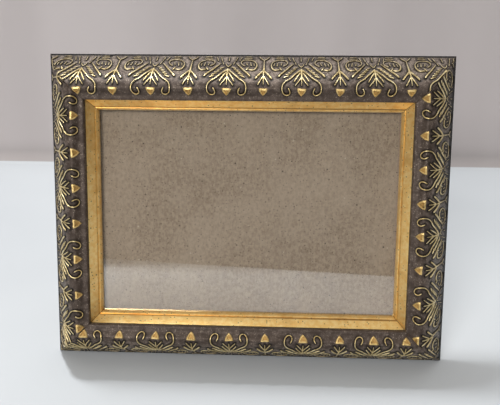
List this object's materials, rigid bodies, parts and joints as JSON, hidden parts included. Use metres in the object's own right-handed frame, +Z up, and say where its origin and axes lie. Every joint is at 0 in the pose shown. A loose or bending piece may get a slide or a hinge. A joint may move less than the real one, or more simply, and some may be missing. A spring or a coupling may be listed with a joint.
{
  "type": "tabletop display frame",
  "caption": "Deep bronzed picture-style display frame with embossed rails, gilt slip, glass and greyboard, standing on a hinged easel strut.",
  "frame": {"origin": "on the table, under the middle of the whole standing frame", "axes": "+Z up, +X to the right as seen by a viewer in front, the glazed front faces -Y and leans back 12 degrees"},
  "size_m": [0.2244, 0.0786, 0.1702],
  "materials": {
    "bronzed_moulding": "embossed composition on wood, dark bronze patina rubbed with gold on the raised ornament",
    "gilt_slip": "satin gold leaf with fine dark specks",
    "glass": "clear, polished",
    "greyboard": "plain matt board with fibre flecks",
    "foam_board": "white paper over foam",
    "corrugated_board": "brown kraft liner",
    "black_board": "fibreboard under black grained paper",
    "nickel_plate": "dull nickel plate on pressed steel",
    "brass_plate": "bright brass",
    "brassed_screw": "brassed, slotted round head",
    "blued_steel": "blued spring steel"
  },
  "bodies": {
    "frame": {"rail_top": "bronzed_moulding", "rail_left": "bronzed_moulding", "rail_bottom": "bronzed_moulding", "rail_right": "bronzed_moulding", "slip_top": "gilt_slip", "slip_left": "gilt_slip", "slip_bottom": "gilt_slip", "slip_right": "gilt_slip", "corner_nails": "blued_steel", "glass_pane": "glass", "display_board": "greyboard", "foam_filler": "foam_board", "corrugated_filler": "corrugated_board", "easel_back": "black_board", "button_screws": "brassed_screw", "hinge_fixed_leaf": "nickel_plate", "hinge_pin": "nickel_plate", "hinge_rivets": "nickel_plate", "hanger_strap": "brass_plate", "hanger_rivet": "brass_plate"},
    "strut": {"strut": "black_board", "hinge_moving_leaf": "nickel_plate", "strut_rivets": "nickel_plate"},
    "hanger_ring": {"hanger_ring": "brass_plate"},
    "turn_button_top_left": {"turn_button_top_left": "brass_plate"},
    "turn_button_top_right": {"turn_button_top_right": "brass_plate"},
    "turn_button_bottom_left": {"turn_button_bottom_left": "brass_plate"},
    "turn_button_bottom_right": {"turn_button_bottom_right": "brass_plate"}
  },
  "joints": [
    {"name": "strut_fold", "type": "hinge", "parent": "frame", "child": "strut", "pos_m": [0, 0.01204, 0.11387], "axis": [-1, 0, 0], "range_deg": [0, 24]},
    {"name": "hanger_ring_swing", "type": "hinge", "parent": "frame", "child": "hanger_ring", "pos_m": [0, 0.01774, 0.14282], "axis": [1, 0, 0], "range_deg": [-2, 165]},
    {"name": "turn_button_top_left_turn", "type": "hinge", "parent": "frame", "child": "turn_button_top_left", "pos_m": [-0.06, 0.01881, 0.15435], "axis": [0, 0.9781, -0.2079], "continuous": true},
    {"name": "turn_button_top_right_turn", "type": "hinge", "parent": "frame", "child": "turn_button_top_right", "pos_m": [0.06, 0.01881, 0.15435], "axis": [0, 0.9781, -0.2079], "continuous": true},
    {"name": "turn_button_bottom_left_turn", "type": "hinge", "parent": "frame", "child": "turn_button_bottom_left", "pos_m": [-0.06, -0.01072, 0.01545], "axis": [0, 0.9781, -0.2079], "continuous": true},
    {"name": "turn_button_bottom_right_turn", "type": "hinge", "parent": "frame", "child": "turn_button_bottom_right", "pos_m": [0.06, -0.01072, 0.01545], "axis": [0, 0.9781, -0.2079], "continuous": true}
  ]
}
